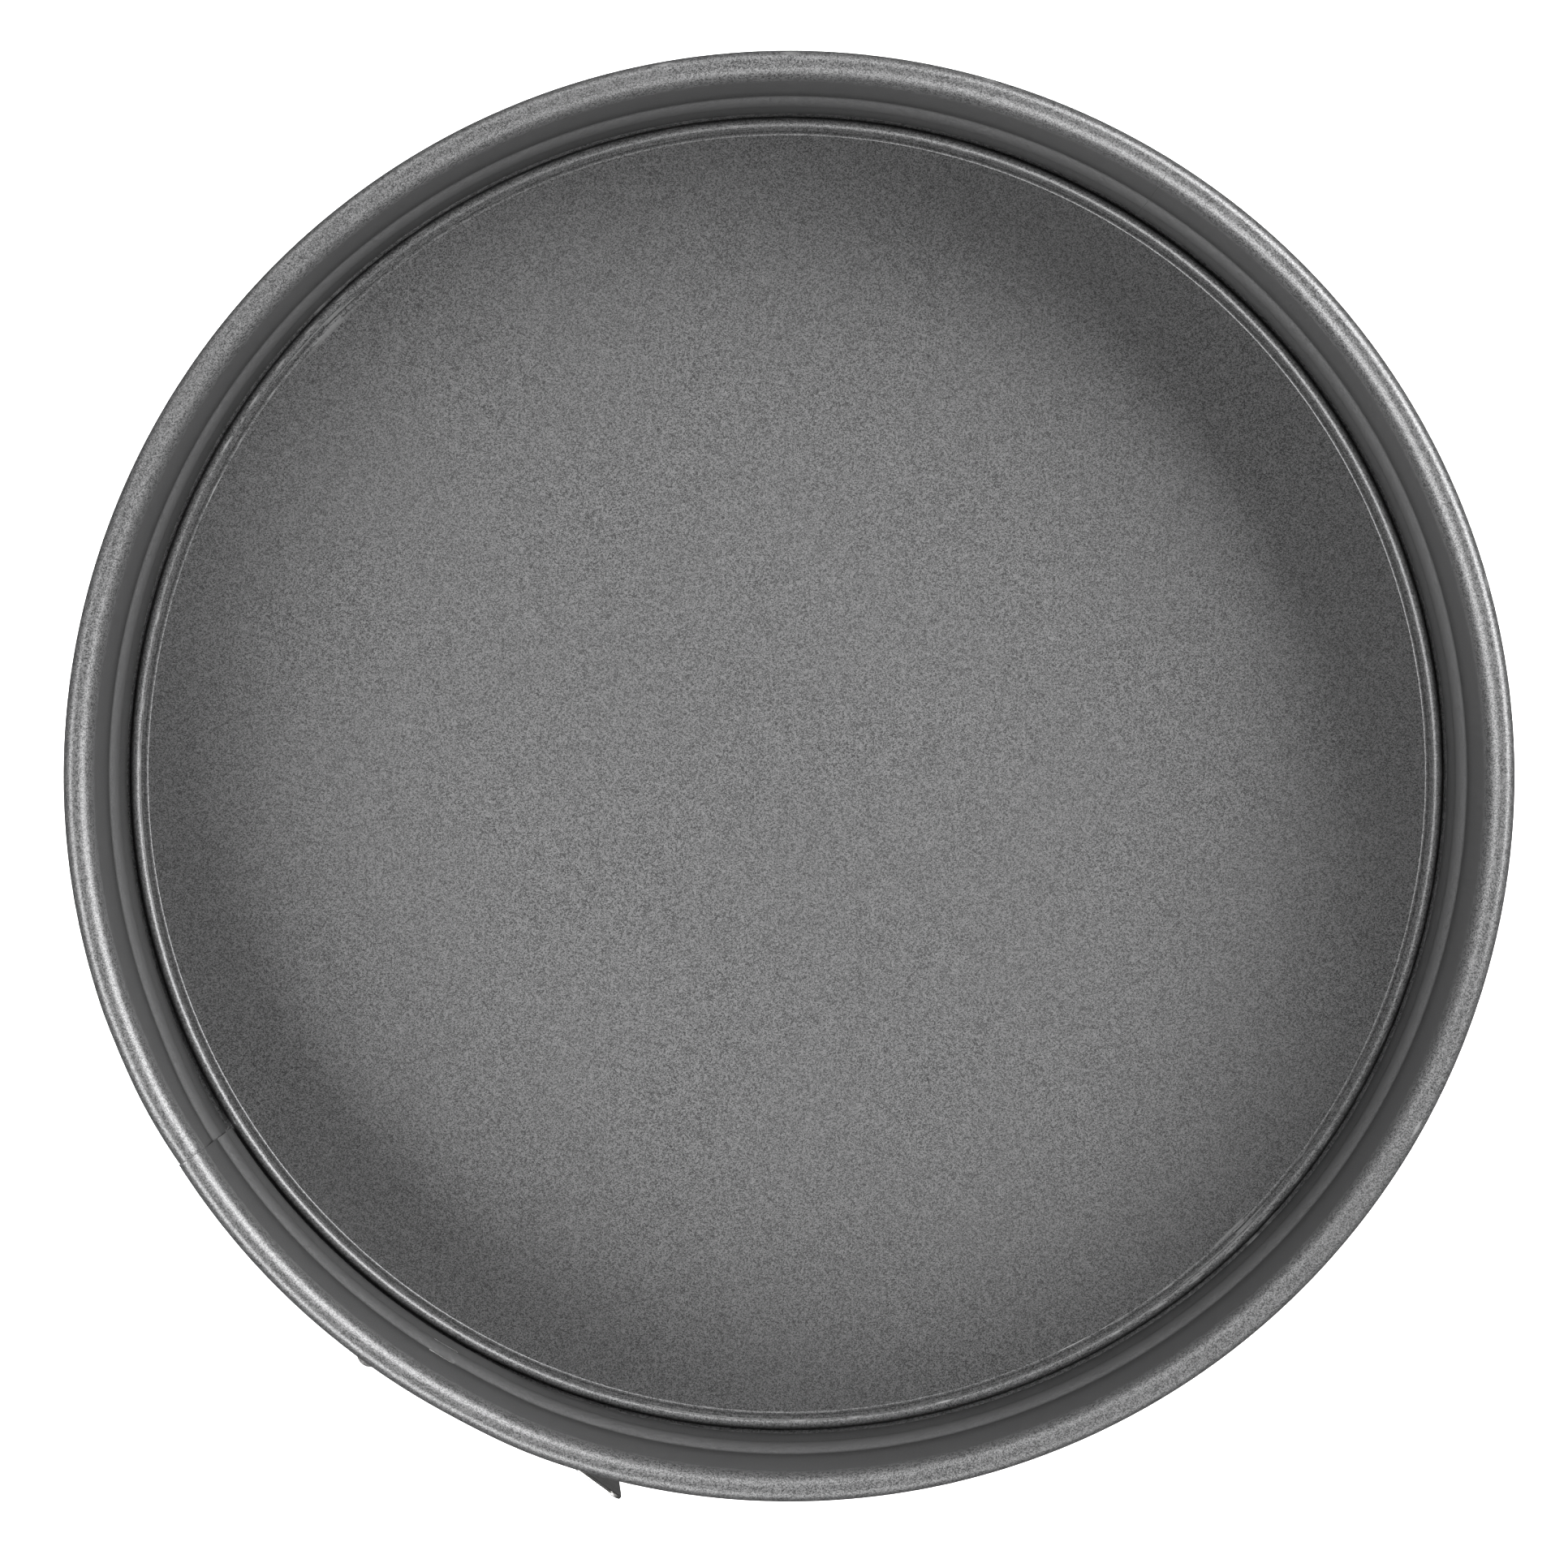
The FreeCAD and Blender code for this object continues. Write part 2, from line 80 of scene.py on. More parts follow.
# Band in plan: where it starts and ends, and where its two layers step apart at the latch.
BACK_ANGLE = 58.0
SEAM_ANGLE = 212.4
SEAM_GAP = 0.05 * MM
INNER_LAYER_SHIFT = 0.4 * MM
INNER_LAYER_STEP = (240.5, 250.5)
OUTER_LAYER_SHIFT = 0.5 * MM
OUTER_LAYER_STEP = (199.0, 212.3)
TONGUE_END_ANGLE = 236.0
TONGUE_HEIGHTS = (12.0 * MM, 56.0 * MM)
TONGUE_CORNER = 6.0 * MM

# The left end's rim draws in and tucks inside the right end's rim.
RIM_DRAW_IN = 1.1 * MM
RIM_FOOT = (50.0 * MM, 60.0 * MM)
TUCK_CLEARANCE = 0.05 * MM
TUCK_LENGTH = 5.0 * MM

# Slots for the lever bracket's tabs.
LATCH_ANGLE = 240.0
SLOT_ALONG = (-4.85 * MM, 0.65 * MM)
SLOT_HALF_SPREAD = 9.25 * MM
SLOT_HALF_HEIGHT = 0.7 * MM

# Base plate section.
BASE_SHEET = 0.8 * MM
FLOOR_TOP = 4.9 * MM
RIDGE_START_RADIUS = 130.8 * MM
RIDGE_CORNERS = (0.15 * MM, 0.85 * MM)
RIDGE_SLOPE = 27.0
BEAD_START_RADIUS = 132.35 * MM
BEAD_INSIDE = (0.05 * MM, 1.5 * MM)
BEAD_SLOPE = 50.0
BEAD_OUTSIDE = (0.9 * MM, 0.3 * MM)
BEAD_OUTSIDE_SLOPE = 78.0
FLANGE_RADIUS = 136.7 * MM

# Painted shade and highlight inside the wall: tones at heights in mm, chosen, that multiply the coating's
# colour. They strengthen the light and dark bands that the shallow rib alone hardly shows: painted shade at
# the rib's two edges and darker below the rib than above it, a painted highlight on the rib's upper half.
WALL_PAINTED_SHADING = ((0.0, 0.26), (19.0, 0.24), (22.0, 0.06), (26.0, 0.3), (36.5, 0.8), (38.5, 0.1), (46.0, 0.33),
              (65.0, 0.45))
WALL_PAINTED_SHADING_GAIN = 2.2
# How squarely a wall has to face the axis, as a share of the radius, to get all of that painted shade and
# highlight or none of it.
INWARD_FACING = (0.8, 0.6)

# Coating: features per metre, then the colours of the darkest and lightest flakes, of cloudy patches and
# of worn edges, which show where a surface's pointiness runs from the first to the second number.
FLAKE_SCALE = 5000
GRAIN_SCALE = 4200
COATING_CLOUD_SCALE = 28
COATING_EDGES = (0.53, 0.62)
FLAKE_DARK = (0.02, 0.02, 0.0203)
FLAKE_LIGHT = (0.124, 0.124, 0.125)
COATING_CLOUD = (0.075, 0.075, 0.0755)
COATING_WORN = (0.15, 0.15, 0.15)
COATING_ROUGHNESS = (0.3, 0.42)
COATING_BUMP = 0.003 * MM

# Nickel plate, in the same order; its fine lines are drawn out upwards.
LINE_SCALE = 900
LINE_STRETCH = (1.0, 1.0, 0.05)
NICKEL_CLOUD_SCALE = 120
NICKEL_EDGES = (0.52, 0.6)
NICKEL_PLAIN = (0.56, 0.555, 0.54)
NICKEL_CLOUD = (0.45, 0.445, 0.43)
NICKEL_WORN = (0.68, 0.675, 0.66)
NICKEL_ROUGHNESS = (0.12, 0.26)
NICKEL_BUMP = 0.002 * MM

# Mesh fineness: degrees for each step round the pan and round a bend, and the shortest straights.
ROUND_STEP = 0.5
BEND_STEP = 6.0
FLAT_MARGIN = 0.15 * MM
EDGE_ROUNDING = 0.12 * MM

# Camera, above the open pan.
CAMERA_PLACE = Vector((-9.5, 10.5, 1101.0)) * MM
CAMERA_AIM = Vector((-1.16, -0.44, 65.0)) * MM
CAMERA_LENS = 122.8

# Stage: softboxes (azimuth, elevation, power), two strong ones on opposite sides and two weak ones
# between them, in a room that is dark overhead.
SOFTBOXES = ((32.0, 46.0, 42.0), (214.0, 50.0, 28.0), (112.0, 40.0, 8.0), (275.0, 40.0, 8.0))
SOFTBOX_DISTANCE = 1.2
SOFTBOX_SIZE = (1.1, 0.7)
ROOM_TONES = ((0.0, 0.1), (0.48, 0.12), (0.55, 0.42), (0.9, 0.38), (0.965, 0.15), (1.0, 0.08))
FLOOR_RADIUS = 4.0
FLOOR_SIDES = 64
FLOOR_GLOW = 0.4
FLOOR_CLOUD_SCALE = 6
FLOOR_TONES = ((0.93, 0.93, 0.93), (0.96, 0.96, 0.96))

UP = Vector((0, 0, 1))


def polar(radius, angle, z=0.0):
    return Vector((radius * cos(radians(angle)), radius * sin(radians(angle)), z))


# Sheet sections: a walk of straight lines and tangent arcs, with the sheet on its right-hand side.

def section_point(x, z, heading, offset):
    return (x + offset * sin(radians(heading)), z - offset * cos(radians(heading)))


def sheet_section(start, heading, steps, thickness):
    """Pairs of points on the two sides of a bent sheet; a step is a length or (radius, turn)."""
    x, z = start
    pairs = []

    def note(x, z, heading):
        pairs.append((section_point(x, z, heading, 0.0), section_point(x, z, heading, thickness)))

    note(x, z, heading)
    for step in steps:
        if isinstance(step, tuple):
            radius, turn = step
            side = 1 if turn > 0 else -1
            centre = (x - side * radius * sin(radians(heading)), z + side * radius * cos(radians(heading)))
            count = max(4, ceil(abs(turn) / BEND_STEP))
            for i in range(1, count + 1):
                at = heading + turn * i / count
                x = centre[0] + side * radius * sin(radians(at))
                z = centre[1] - side * radius * cos(radians(at))
                note(x, z, at)
            heading += turn
        else:
            along = (cos(radians(heading)), sin(radians(heading)))
            for distance in straight_stops(step):
                note(x + distance * along[0], z + distance * along[1], heading)
            x += step * along[0]
            z += step * along[1]
    return pairs


def straight_stops(length):
    """Where a straight gets its points: close to both ends, so that it shades flat between them."""
    if length < 3 * FLAT_MARGIN:
        return [length]
    return [FLAT_MARGIN, length - FLAT_MARGIN, length]


def with_heights(pairs, heights):
    """The section with an extra pair of points where its wall first passes each height."""
    for height in heights:
        for i in range(1, len(pairs)):
            (near_a, far_a), (near_b, far_b) = pairs[i - 1], pairs[i]
            if near_a[0] < BAND_SHEET and near_a[1] < height - 1e-6 and near_b[1] > height + 1e-6:
                share = (height - near_a[1]) / (near_b[1] - near_a[1])
                middle = [tuple(p + share * (q - p) for p, q in zip(a, b))
                          for a, b in ((near_a, near_b), (far_a, far_b))]
                pairs = pairs[:i] + [tuple(middle)] + pairs[i:]
                break
    return pairs


def slope_length(rise, corners, slope):
    """Length of the straight between two opposite corners that shift a sheet sideways by rise."""
    return (rise - sum(corners) * (1 - cos(radians(slope)))) / sin(radians(slope))


def rib_steps():
    half_height = (RIB_TOP - RIB_BOTTOM) / 2
    radii = (half_height ** 2 + RIB_BULGE ** 2) / (2 * RIB_BULGE)
    slope = degrees(atan2(half_height, radii - RIB_BULGE))
    return [(RIB_CORNER, slope), (radii - RIB_CORNER, -2 * slope), (RIB_CORNER, slope)]


def slot_heights():
    middle = (RIB_BOTTOM + RIB_TOP) / 2
    return [(middle + side * SLOT_HALF_SPREAD - SLOT_HALF_HEIGHT,
             middle + side * SLOT_HALF_SPREAD + SLOT_HALF_HEIGHT) for side in (-1, 1)]


def band_section():
    roof = slope_length(GROOVE_DEPTH, GROOVE_ROOF_CORNERS, GROOVE_ROOF_SLOPE)
    roof_rise = (sum(GROOVE_ROOF_CORNERS) * sin(radians(GROOVE_ROOF_SLOPE))
                 + roof * cos(radians(GROOVE_ROOF_SLOPE)))
    steps = [
        SEAT_HEIGHT - GROOVE_FLOOR_CORNER,
        (GROOVE_FLOOR_CORNER, -90),
        GROOVE_DEPTH - GROOVE_FLOOR_CORNER - GROOVE_OUTER_CORNER,
        (GROOVE_OUTER_CORNER, 90),
        WALL_FOOT - roof_rise - SEAT_HEIGHT - GROOVE_OUTER_CORNER,
        (GROOVE_ROOF_CORNERS[0], GROOVE_ROOF_SLOPE),
        roof,
        (GROOVE_ROOF_CORNERS[1], -GROOVE_ROOF_SLOPE),
        RIB_BOTTOM - WALL_FOOT,
        *rib_steps(),
        HEIGHT - RIM_INNER_ROLL - RIB_TOP,
        (RIM_INNER_ROLL, -90),
        (RIM_OUTER_ROLL, -RIM_ROLL_END),
    ]
    pairs = sheet_section((0.0, 0.0), 90, steps, BAND_SHEET)
    return with_heights(pairs, [*TONGUE_HEIGHTS, *slot_heights()[0], *slot_heights()[1]])


def base_section():
    ridge_width = 2 * sum(RIDGE_CORNERS) * sin(radians(RIDGE_SLOPE))
    bead_rise = sum(BEAD_INSIDE) * (1 - cos(radians(BEAD_SLOPE)))
    fall = FLOOR_TOP + bead_rise - SEAT_HEIGHT - BASE_SHEET
    outer_flank = slope_length(fall, BEAD_OUTSIDE, BEAD_OUTSIDE_SLOPE)
    bead_width = (sum(BEAD_INSIDE) * sin(radians(BEAD_SLOPE))
                  + sum(BEAD_OUTSIDE) * sin(radians(BEAD_OUTSIDE_SLOPE))
                  + outer_flank * cos(radians(BEAD_OUTSIDE_SLOPE)))
    steps = [
        2 * FLAT_MARGIN,
        (RIDGE_CORNERS[0], RIDGE_SLOPE),
        (RIDGE_CORNERS[1], -2 * RIDGE_SLOPE),
        (RIDGE_CORNERS[0], RIDGE_SLOPE),
        BEAD_START_RADIUS - RIDGE_START_RADIUS - ridge_width,
        (BEAD_INSIDE[0], BEAD_SLOPE),
        (BEAD_INSIDE[1], -BEAD_SLOPE),
        (BEAD_OUTSIDE[0], -BEAD_OUTSIDE_SLOPE),
        outer_flank,
        (BEAD_OUTSIDE[1], BEAD_OUTSIDE_SLOPE),
        FLANGE_RADIUS - BEAD_START_RADIUS - bead_width,
    ]
    return sheet_section((RIDGE_START_RADIUS - 2 * FLAT_MARGIN, FLOOR_TOP), 0, steps, BASE_SHEET)


# Plan of the band

def layer_step(radius, shift, angles):
    """Two opposed arcs that move the band outwards by shift between two polar angles."""
    half_length = radius * radians(angles[1] - angles[0]) / 2
    bend = shift / half_length ** 2
    arcs = []
    for curvature in (1 / radius - bend, 1 / (radius + shift) + bend):
        arcs.append((1 / curvature, degrees(half_length * curvature)))
    return arcs


def stations(place, outward, arcs):
    """Plan points with their outward angles, along arcs (radius, turn)."""
    found = [(place, outward)]
    for radius, turn in arcs:
        centre = place - polar(radius, outward)
        count = max(1, ceil(turn / ROUND_STEP))
        for i in range(1, count + 1):
            at = outward + turn * i / count
            found.append((centre + polar(radius, at), at))
        place, outward = found[-1]
    return found


def swept(plan, section):
    """Two grids of points, near and far side, one column for each plan station."""
    grids = []
    for side in (0, 1):
        grids.append([[place + polar(pair[side][0], outward, pair[side][1]) for pair in section]
                      for place, outward in plan])
    return grids


def sheet_object(name, near, far, has_cell, turned=False):
    """A closed sheet between two grids of points; has_cell(column, row) says where there is metal.

    A turned sheet goes right round, and its first row is filled by a flat disc.
    """
    columns = len(near)
    index, points, faces, sides = {}, [], [], set()

    def corner(side, column, row):
        key = (side, column % columns, row)
        if key not in index:
            index[key] = len(points)
            points.append((near, far)[side][key[1]][row])
        return index[key]

    for column in range(columns if turned else columns - 1):
        for row in range(len(near[0]) - 1):
            if not has_cell(column, row):
                continue
            ring = [(column, row), (column, row + 1), (column + 1, row + 1), (column + 1, row)]
            faces.append([corner(0, *at) for at in ring])
            faces.append([corner(1, *at) for at in reversed(ring)])
            for a, b in zip(ring, ring[1:] + ring[:1]):
                sides.add(((a[0] % columns, a[1]), (b[0] % columns, b[1])))
    for a, b in sorted(sides):
        if (b, a) not in sides and not (turned and a[1] == b[1] == 0):
            faces.append([corner(0, *b), corner(0, *a), corner(1, *a), corner(1, *b)])
    if turned:
        faces.append([corner(0, column, 0) for column in range(columns)])
        faces.append([corner(1, column, 0) for column in reversed(range(columns))])
    return mesh_object(name, points, faces)


def mesh_object(name, points, faces):
    mesh = bpy.data.meshes.new(name)
    mesh.from_pydata([tuple(p) for p in points], [], faces)
    mesh.shade_smooth()
    obj = bpy.data.objects.new(name, mesh)
    bpy.context.scene.collection.objects.link(obj)
    return obj


def round_edges(obj, width, angle=40.0, segments=2):
    bevel = obj.modifiers.new("rounded edges", "BEVEL")
    bevel.width = width
    bevel.segments = segments
    bevel.limit_method = "ANGLE"
    bevel.angle_limit = radians(angle)
    bevel.harden_normals = True
    return obj


# Band pieces

def is_slot(section, row):
    """True for a section row that lies within one of the tab slots' heights."""
    middle = (section[row][0][1] + section[row + 1][0][1]) / 2
    return any(low < middle < high for low, high in slot_heights()) and section[row][0][0] < BAND_SHEET


def band_latch_side():
    """From the seam, past the latch and round the front to the back."""
    section = band_section()
    start = SEAM_ANGLE + degrees(SEAM_GAP / 2 / INNER_RADIUS)
    lapped = INNER_RADIUS - INNER_LAYER_SHIFT
    slot_edges = [LATCH_ANGLE + degrees(atan2(along, lapped)) for along in SLOT_ALONG]
    marks = [start, *slot_edges, INNER_LAYER_STEP[0]]
    near_arcs = [(lapped, b - a) for a, b in zip(marks, marks[1:])]
    near_arcs += layer_step(lapped, INNER_LAYER_SHIFT, INNER_LAYER_STEP)
    plan = stations(polar(lapped, start), start, near_arcs)
    place, outward = plan[-1]
    plan += stations(place, outward, [(INNER_RADIUS, BACK_ANGLE + 360 - outward)])[1:]
    near, far = swept(plan, section)

    def has_cell(column, row):
        at = (plan[column][1] + plan[column + 1][1]) / 2
        return not (slot_edges[0] < at < slot_edges[1] and is_slot(section, row))

    obj = round_edges(sheet_object("band_right", near, far, has_cell), EDGE_ROUNDING)
    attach(obj, "ring")
    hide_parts("band_latch_half")
    return obj


def tongue_end(height):
    """The polar angle where the tongue ends at a height, round its two free corners."""
    low, high = TONGUE_HEIGHTS
    into = max(0.0, low + TONGUE_CORNER - height, height - high + TONGUE_CORNER)
    inset = TONGUE_CORNER - (TONGUE_CORNER ** 2 - min(into, TONGUE_CORNER) ** 2) ** 0.5
    return TONGUE_END_ANGLE - degrees(inset / (INNER_RADIUS + OUTER_LAYER_SHIFT))


def rim_share(height):
    """0 on the wall and 1 on the rim, with a smooth change between them."""
    low, high = RIM_FOOT
    share = min(1.0, max(0.0, (height - low) / (high - low)))
    return share * share * (3 - 2 * share)


def draw_in_rim(plan, section, grids):
    """Moves the rim inwards where the outer layer steps out, so that it can tuck into the other end's."""
    first, last = OUTER_LAYER_STEP
    for column, (_, outward) in enumerate(plan):
        share = max(0.0, (outward - first) / (last - first))
        for grid in grids:
            for row, pair in enumerate(section):
                inwards = -RIM_DRAW_IN * share * rim_share(pair[0][1])
                grid[column][row] += polar(inwards, outward)


def tucked(pair):
    """The sheet's two sides moved in by a sheet's thickness, to lie inside the other end's rim."""
    near, far = pair
    shift = 1 + TUCK_CLEARANCE / BAND_SHEET
    return [tuple(p + (q - p) * (shift + side) for p, q in zip(near, far)) for side in (0, 1)]


def band_catch_side():
    """From the back round to the seam, then the plain tongue and the rim's tuck behind the other end."""
    section = band_section()
    arcs = [(INNER_RADIUS, OUTER_LAYER_STEP[0] - BACK_ANGLE),
            *layer_step(INNER_RADIUS, OUTER_LAYER_SHIFT, OUTER_LAYER_STEP)]
    plan = stations(polar(INNER_RADIUS, BACK_ANGLE), BACK_ANGLE, arcs)
    near, far = swept(plan, section)
    draw_in_rim(plan, section, (near, far))
    seam_column = len(plan) - 1
    seam = plan[-1][1]
    tongue_columns = ceil((TONGUE_END_ANGLE - seam) / ROUND_STEP)
    tuck_columns = ceil(degrees(TUCK_LENGTH / INNER_RADIUS) / ROUND_STEP)
    for i in range(1, tongue_columns + 1):
        for side, grid in enumerate((near, far)):
            column = []
            for pair in section:
                at = seam + (tongue_end(pair[0][1]) - seam) * i / tongue_columns
                layer, place = OUTER_LAYER_SHIFT, pair[side]
                if pair[0][1] > TONGUE_HEIGHTS[1] + BAND_SHEET:
                    layer, place = -INNER_LAYER_SHIFT, tucked(pair)[side]
                    at = seam + ROUND_STEP * i
                column.append(polar(INNER_RADIUS + layer + place[0], at, place[1]))
            grid.append(column)

    def has_cell(column, row):
        low, high = section[row][0][1], section[row + 1][0][1]
        on_wall = section[row][0][0] < BAND_SHEET and section[row + 1][0][0] < BAND_SHEET
        in_tongue = on_wall and TONGUE_HEIGHTS[0] < (low + high) / 2 < TONGUE_HEIGHTS[1]
        in_rim = row > tongue_top_row(section) and min(low, high) > HEIGHT - 2 * RIM_INNER_ROLL
        in_tuck = in_rim and column < seam_column + tuck_columns
        return column < seam_column or in_tongue or in_tuck

    obj = round_edges(sheet_object("band_left", near, far, has_cell), EDGE_ROUNDING)
    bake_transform(obj)
    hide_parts("band_catch_half")
    return obj


def tongue_top_row(section):
    """The last row below the tongue's top."""
    return sum(1 for pair in section if pair[0][1] < TONGUE_HEIGHTS[1]) - 1


def base_disc():
    """The base plate: its section turned round, and a flat floor inside it."""
    count = round(360 / ROUND_STEP)
    plan = [(Vector((0, 0, 0)), 360 * i / count) for i in range(count)]
    near, far = swept(plan, base_section())
    disc = sheet_object("base_disc", near, far, lambda column, row: True, turned=True)
    obj = round_edges(disc, EDGE_ROUNDING)
    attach(obj, "base")
    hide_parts("base_plate")
    return obj


# Materials

def grey_ramp(tree, tones):
    """A colour ramp of greys in a node tree, from pairs (position from 0 to 1, tone)."""
    node = tree.nodes.new("ShaderNodeValToRGB")
    stops = node.color_ramp.elements
    while len(stops) < len(tones):
        stops.new(0.5)
    for stop, (position, tone) in zip(stops, tones):
        stop.position = position
        stop.color = (tone, tone, tone, 1.0)
    return node


class Nodes:
    """A material's node tree, with short ways to add and join nodes."""

    def __init__(self, name):
        self.material = bpy.data.materials.new(name)
        self.material.use_nodes = True
        self.tree = self.material.node_tree
        self.shader = self.tree.nodes["Principled BSDF"]
        own = self.add("ShaderNodeTexCoord")
        self.place = own.outputs["Object"]
        self.facing = own.outputs["Normal"]

    def add(self, kind, **settings):
        node = self.tree.nodes.new(kind)
        for name, value in settings.items():
            setattr(node, name, value)
        return node

    def join(self, source, target):
        self.tree.links.new(source, target)

    def noise(self, scale, detail=2.0, stretch=None):
        """Soft noise with features about 1 / scale metres across."""
        node = self.add("ShaderNodeTexNoise")
        node.inputs["Scale"].default_value = scale
        node.inputs["Detail"].default_value = detail
        self.join(self.stretched(stretch), node.inputs["Vector"])
        return node.outputs["Fac"]

    def stretched(self, stretch):
        if stretch is None:
            return self.place
        node = self.add("ShaderNodeMapping")
        node.inputs["Scale"].default_value = stretch
        self.join(self.place, node.inputs["Vector"])
        return node.outputs["Vector"]

    def flecks(self, scale):
        """A different random value from 0 to 1 for each cell, about 1 / scale metres across."""
        cells = self.add("ShaderNodeTexVoronoi")
        cells.inputs["Scale"].default_value = scale
        self.join(self.place, cells.inputs["Vector"])
        split = self.add("ShaderNodeSeparateColor")
        self.join(cells.outputs["Color"], split.inputs["Color"])
        return split.outputs["Red"]

    def span(self, source, low, high, start=0.0, stop=1.0):
        """The source's values from start to stop, moved to run from low to high."""
        node = self.add("ShaderNodeMapRange")
        for name, value in (("From Min", start), ("From Max", stop), ("To Min", low), ("To Max", high)):
            node.inputs[name].default_value = value
        self.join(source, node.inputs["Value"])
        return node.outputs["Result"]

    def sum(self, first, second):
        node = self.add("ShaderNodeMath", operation="ADD")
        self.join(first, node.inputs[0])
        self.join(second, node.inputs[1])
        return node.outputs["Value"]

    def blend(self, share, first, second):
        """A colour between two; each is an output or a colour."""
        node = self.add("ShaderNodeMix", data_type="RGBA")
        self.join(share, node.inputs["Factor"])
        for socket, colour in ((node.inputs["A"], first), (node.inputs["B"], second)):
            if isinstance(colour, tuple):
                socket.default_value = (*colour, 1.0)
            else:
                self.join(colour, socket)
        return node.outputs["Result"]

    def worn_edges(self, start, stop):
        """Near 1 on convex edges and 0 elsewhere."""
        return self.span(self.add("ShaderNodeNewGeometry").outputs["Pointiness"], 0.0, 1.0, start, stop)

    def inside(self):
        """1 on walls that face the middle of the object and 0 elsewhere."""
        outwards = self.add("ShaderNodeVectorMath", operation="DOT_PRODUCT")
        self.join(self.facing, outwards.inputs[0])
        self.join(self.place, outwards.inputs[1])
        fully, barely = INWARD_FACING
        return self.span(outwards.outputs["Value"], 1.0, 0.0, -fully * INNER_RADIUS, -barely * INNER_RADIUS)

    def by_height(self, tones):
        """A tone that changes with height, from pairs (height in mm, tone).

        Heights are read where the mesh stands, so on a blended piece they slide when the ring is lifted.
        """
        split = self.add("ShaderNodeSeparateXYZ")
        self.join(self.place, split.inputs["Vector"])
        return self.ramp(self.span(split.outputs["Z"], 0.0, 1.0, 0.0, HEIGHT),
                         [(height * MM / HEIGHT, tone) for height, tone in tones])

    def ramp(self, source, tones):
        node = grey_ramp(self.tree, tones)
        self.join(source, node.inputs["Fac"])
        return node.outputs["Color"]

    def scaled(self, colour, factor, gain):
        """The colour times a grey factor times a number."""
        for by in (factor, (gain, gain, gain)):
            node = self.add("ShaderNodeVectorMath", operation="MULTIPLY")
            self.join(colour, node.inputs[0])
            if isinstance(by, tuple):
                node.inputs[1].default_value = by
            else:
                self.join(by, node.inputs[1])
            colour = node.outputs["Vector"]
        return colour

    def bump(self, height, depth):
        node = self.add("ShaderNodeBump")
        node.inputs["Distance"].default_value = depth
        self.join(height, node.inputs["Height"])
        self.join(node.outputs["Normal"], self.shader.inputs["Normal"])

    def set(self, **values):
        for name, value in values.items():
            self.shader.inputs[name.replace("_", " ")].default_value = value


def coating():
    """Dark grey non-stick coating with metal flakes, a fine sandy grain and slightly worn edges, with
    painted shade and highlight bands on the inside of the wall.
    """
    nodes = Nodes("nonstick coating")
    flake = nodes.flecks(FLAKE_SCALE)
    grain = nodes.noise(GRAIN_SCALE, detail=2.0)
    cloud = nodes.noise(COATING_CLOUD_SCALE, detail=3.0)
    grey = nodes.blend(nodes.span(flake, 0.0, 1.0), FLAKE_DARK, FLAKE_LIGHT)
    grey = nodes.blend(nodes.span(cloud, 0.0, 0.25, 0.3, 0.7), grey, COATING_CLOUD)
    grey = nodes.blend(nodes.worn_edges(*COATING_EDGES), grey, COATING_WORN)
    # Painted shade and highlight: on inner walls the coating's colour is scaled by the height tones, dark at
    # the rib's edges and light on its upper half.
    wall = nodes.scaled(grey, nodes.by_height(WALL_PAINTED_SHADING), WALL_PAINTED_SHADING_GAIN)
    nodes.join(nodes.blend(nodes.inside(), grey, wall), nodes.shader.inputs["Base Color"])
    nodes.join(nodes.span(flake, *COATING_ROUGHNESS), nodes.shader.inputs["Roughness"])
    nodes.bump(nodes.sum(flake, grain), COATING_BUMP)
    nodes.set(Metallic=0.5, IOR=1.5, Specular_Tint=(0.8, 0.8, 0.8, 1.0))
    return nodes.material


def nickel():
    """Nickel-plated sheet steel: fine drawn lines, faint clouding and brighter worn edges."""
    nodes = Nodes("nickel plate")
    lines = nodes.noise(LINE_SCALE, detail=4.0, stretch=LINE_STRETCH)
    cloud = nodes.noise(NICKEL_CLOUD_SCALE, detail=4.0)
    tone = nodes.blend(nodes.span(cloud, 0.0, 1.0, 0.35, 0.7), NICKEL_PLAIN, NICKEL_CLOUD)
    tone = nodes.blend(nodes.worn_edges(*NICKEL_EDGES), tone, NICKEL_WORN)
    roughness = nodes.span(nodes.sum(lines, cloud), *NICKEL_ROUGHNESS, 0.7, 1.3)
    nodes.join(tone, nodes.shader.inputs["Base Color"])
    nodes.join(roughness, nodes.shader.inputs["Roughness"])
    nodes.bump(lines, NICKEL_BUMP)
    nodes.set(Metallic=1.0)
    return nodes.material


def paint(obj, finish):
    obj.data.materials.clear()
    obj.data.materials.append(finish)


def finish_latch(plate):
    """Nickel on every CAD part that still shows, which is the latch."""
    for body in frame["record"]["behaviour"]["bodies"].values():
        for node in body:
            obj = frame["nodes"][node]
            if obj.hide_render:
                continue
            paint(obj, plate)


# Stage

def aimed(obj, place, aim, up):
    """Puts obj at place, looking along its own -Z at aim, with its +Y towards up."""
    ahead = (aim - place).normalized()
    right = ahead.cross(up).normalized()
    obj.matrix_world = Matrix((right, right.cross(ahead), -ahead)).transposed().to_4x4()
    obj.location = place
    bpy.context.scene.collection.objects.link(obj)
    return obj


def camera():
    lens = bpy.data.cameras.new("camera")
    lens.lens = CAMERA_LENS
    lens.clip_start = 10 * MM
    lens.clip_end = 50.0
    return aimed(bpy.data.objects.new("camera", lens), CAMERA_PLACE, CAMERA_AIM, Vector((0, 1, 0)))


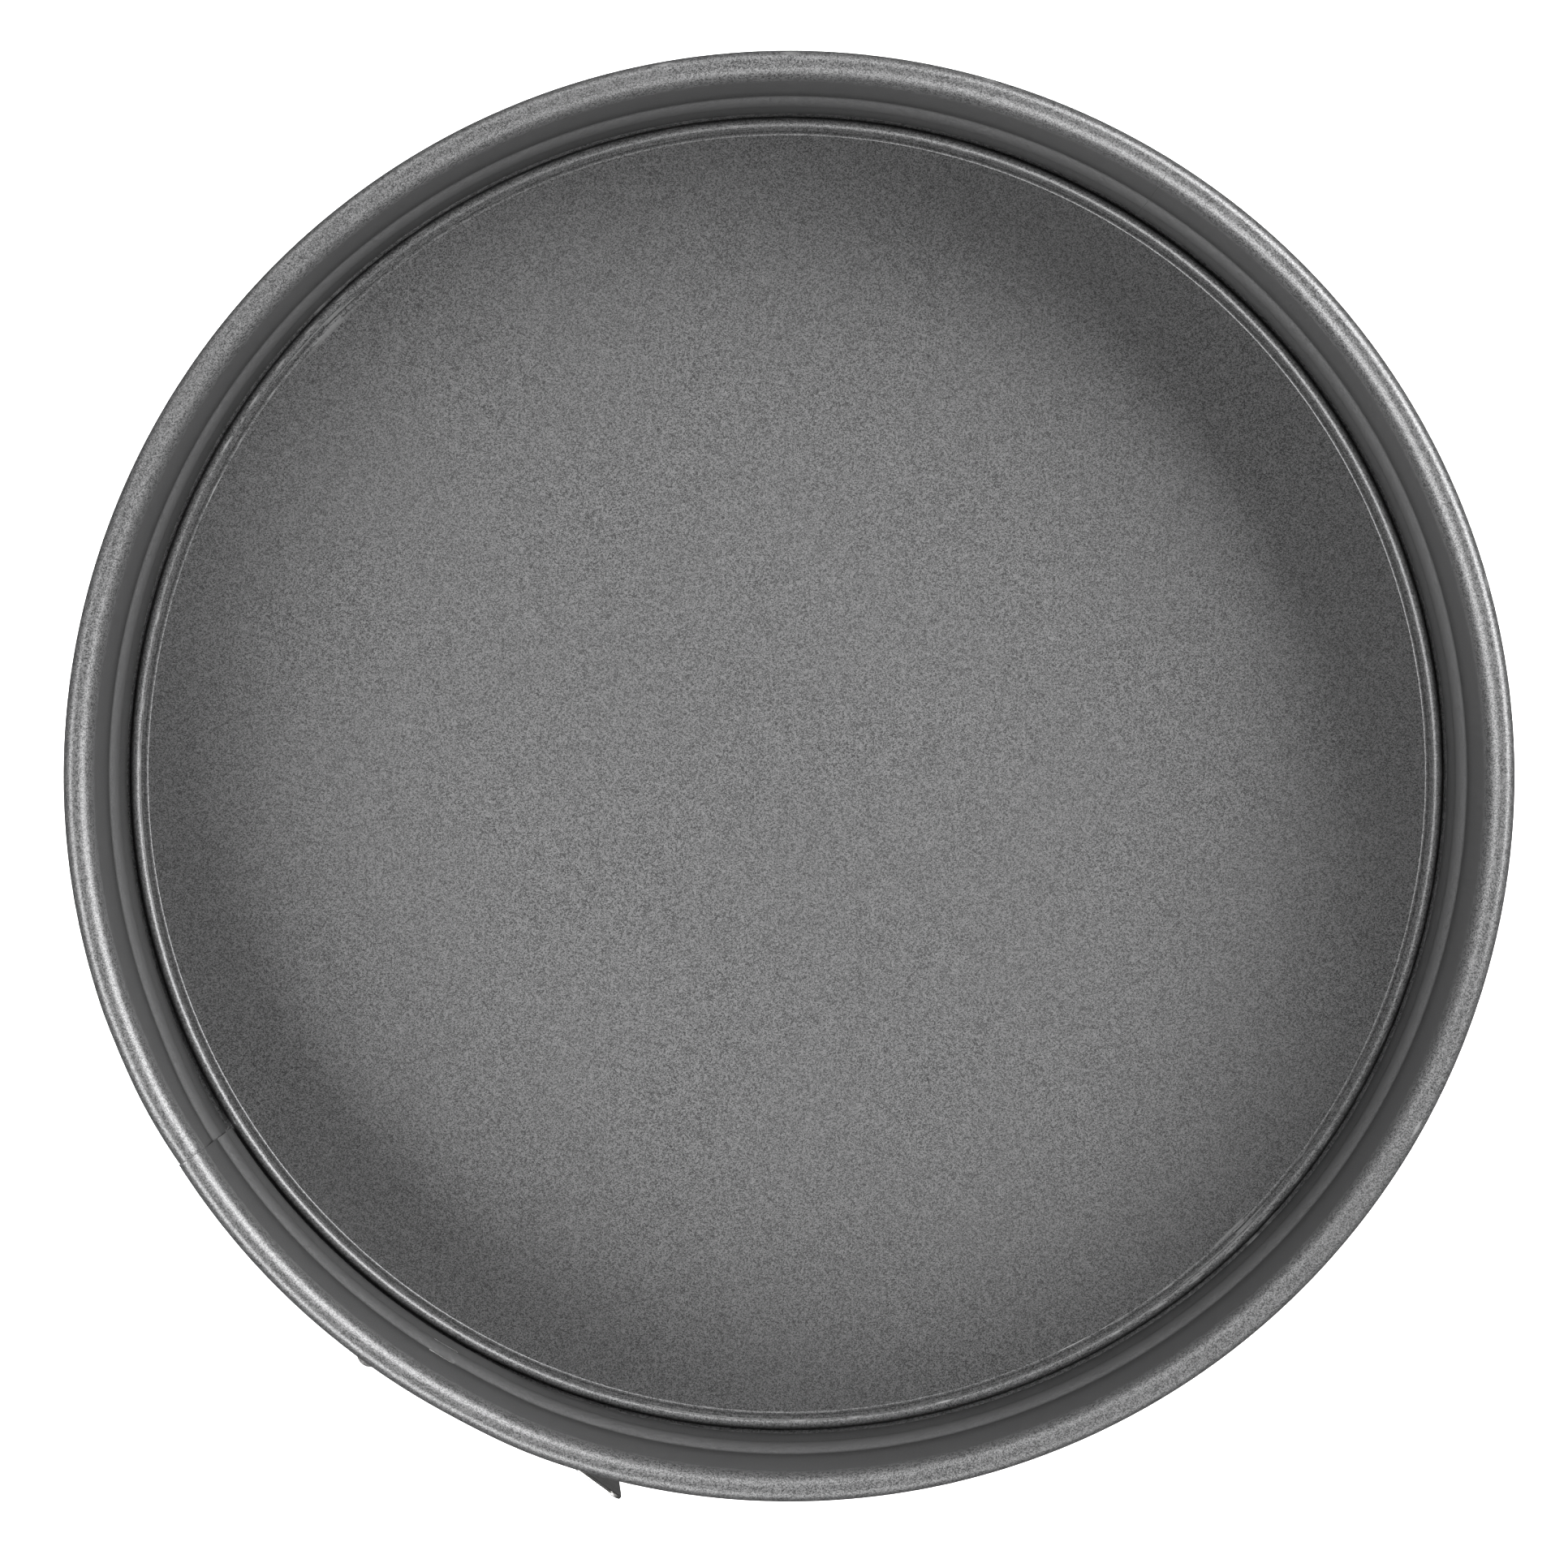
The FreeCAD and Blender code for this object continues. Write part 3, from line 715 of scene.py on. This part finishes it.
def softbox(azimuth, elevation, power):
    light = bpy.data.lights.new("softbox", "AREA")
    light.shape = "RECTANGLE"
    light.size = SOFTBOX_SIZE[0]
    light.size_y = SOFTBOX_SIZE[1]
    light.energy = power
    place = polar(SOFTBOX_DISTANCE * cos(radians(elevation)), azimuth,
                  SOFTBOX_DISTANCE * sin(radians(elevation)))
    return aimed(bpy.data.objects.new("softbox", light), place, Vector((0, 0, 0)), UP)


def room():
    """A pale room that is brightest part of the way up and darker overhead, round the camera."""
    world = bpy.data.worlds.new("room")
    world.use_nodes = True
    tree = world.node_tree
    ramp = grey_ramp(tree, ROOM_TONES)
    split = tree.nodes.new("ShaderNodeSeparateXYZ")
    height = tree.nodes.new("ShaderNodeMapRange")
    height.inputs["From Min"].default_value = -1.0
    tree.links.new(tree.nodes.new("ShaderNodeTexCoord").outputs["Generated"], split.inputs["Vector"])
    tree.links.new(split.outputs["Z"], height.inputs["Value"])
    tree.links.new(height.outputs["Result"], ramp.inputs["Fac"])
    tree.links.new(ramp.outputs["Color"], tree.nodes["Background"].inputs["Color"])
    bpy.context.scene.world = world


def floor():
    """A pale floor, hidden from mirror and bounce rays so that it doesn't show in the pan or light it."""
    corners = [polar(FLOOR_RADIUS, 360 * i / FLOOR_SIDES) for i in range(FLOOR_SIDES)]
    mesh = bpy.data.meshes.new("floor")
    mesh.from_pydata(corners, [], [list(range(FLOOR_SIDES))])
    obj = bpy.data.objects.new("floor", mesh)
    bpy.context.scene.collection.objects.link(obj)
    nodes = Nodes("pale floor")
    tone = nodes.blend(nodes.noise(FLOOR_CLOUD_SCALE), *FLOOR_TONES)
    nodes.join(tone, nodes.shader.inputs["Base Color"])
    nodes.set(Roughness=0.9, Emission_Color=(1.0, 1.0, 1.0, 1.0), Emission_Strength=FLOOR_GLOW)
    mesh.materials.append(nodes.material)
    obj.visible_diffuse = False
    obj.visible_glossy = False


coat = coating()
for sheet in (band_latch_side(), band_catch_side(), base_disc()):
    paint(sheet, coat)
finish_latch(nickel())

floor()
room()
for azimuth, elevation, power in SOFTBOXES:
    softbox(azimuth, elevation, power)
bpy.context.scene.camera = camera()
bpy.context.scene.view_settings.view_transform = "Standard"
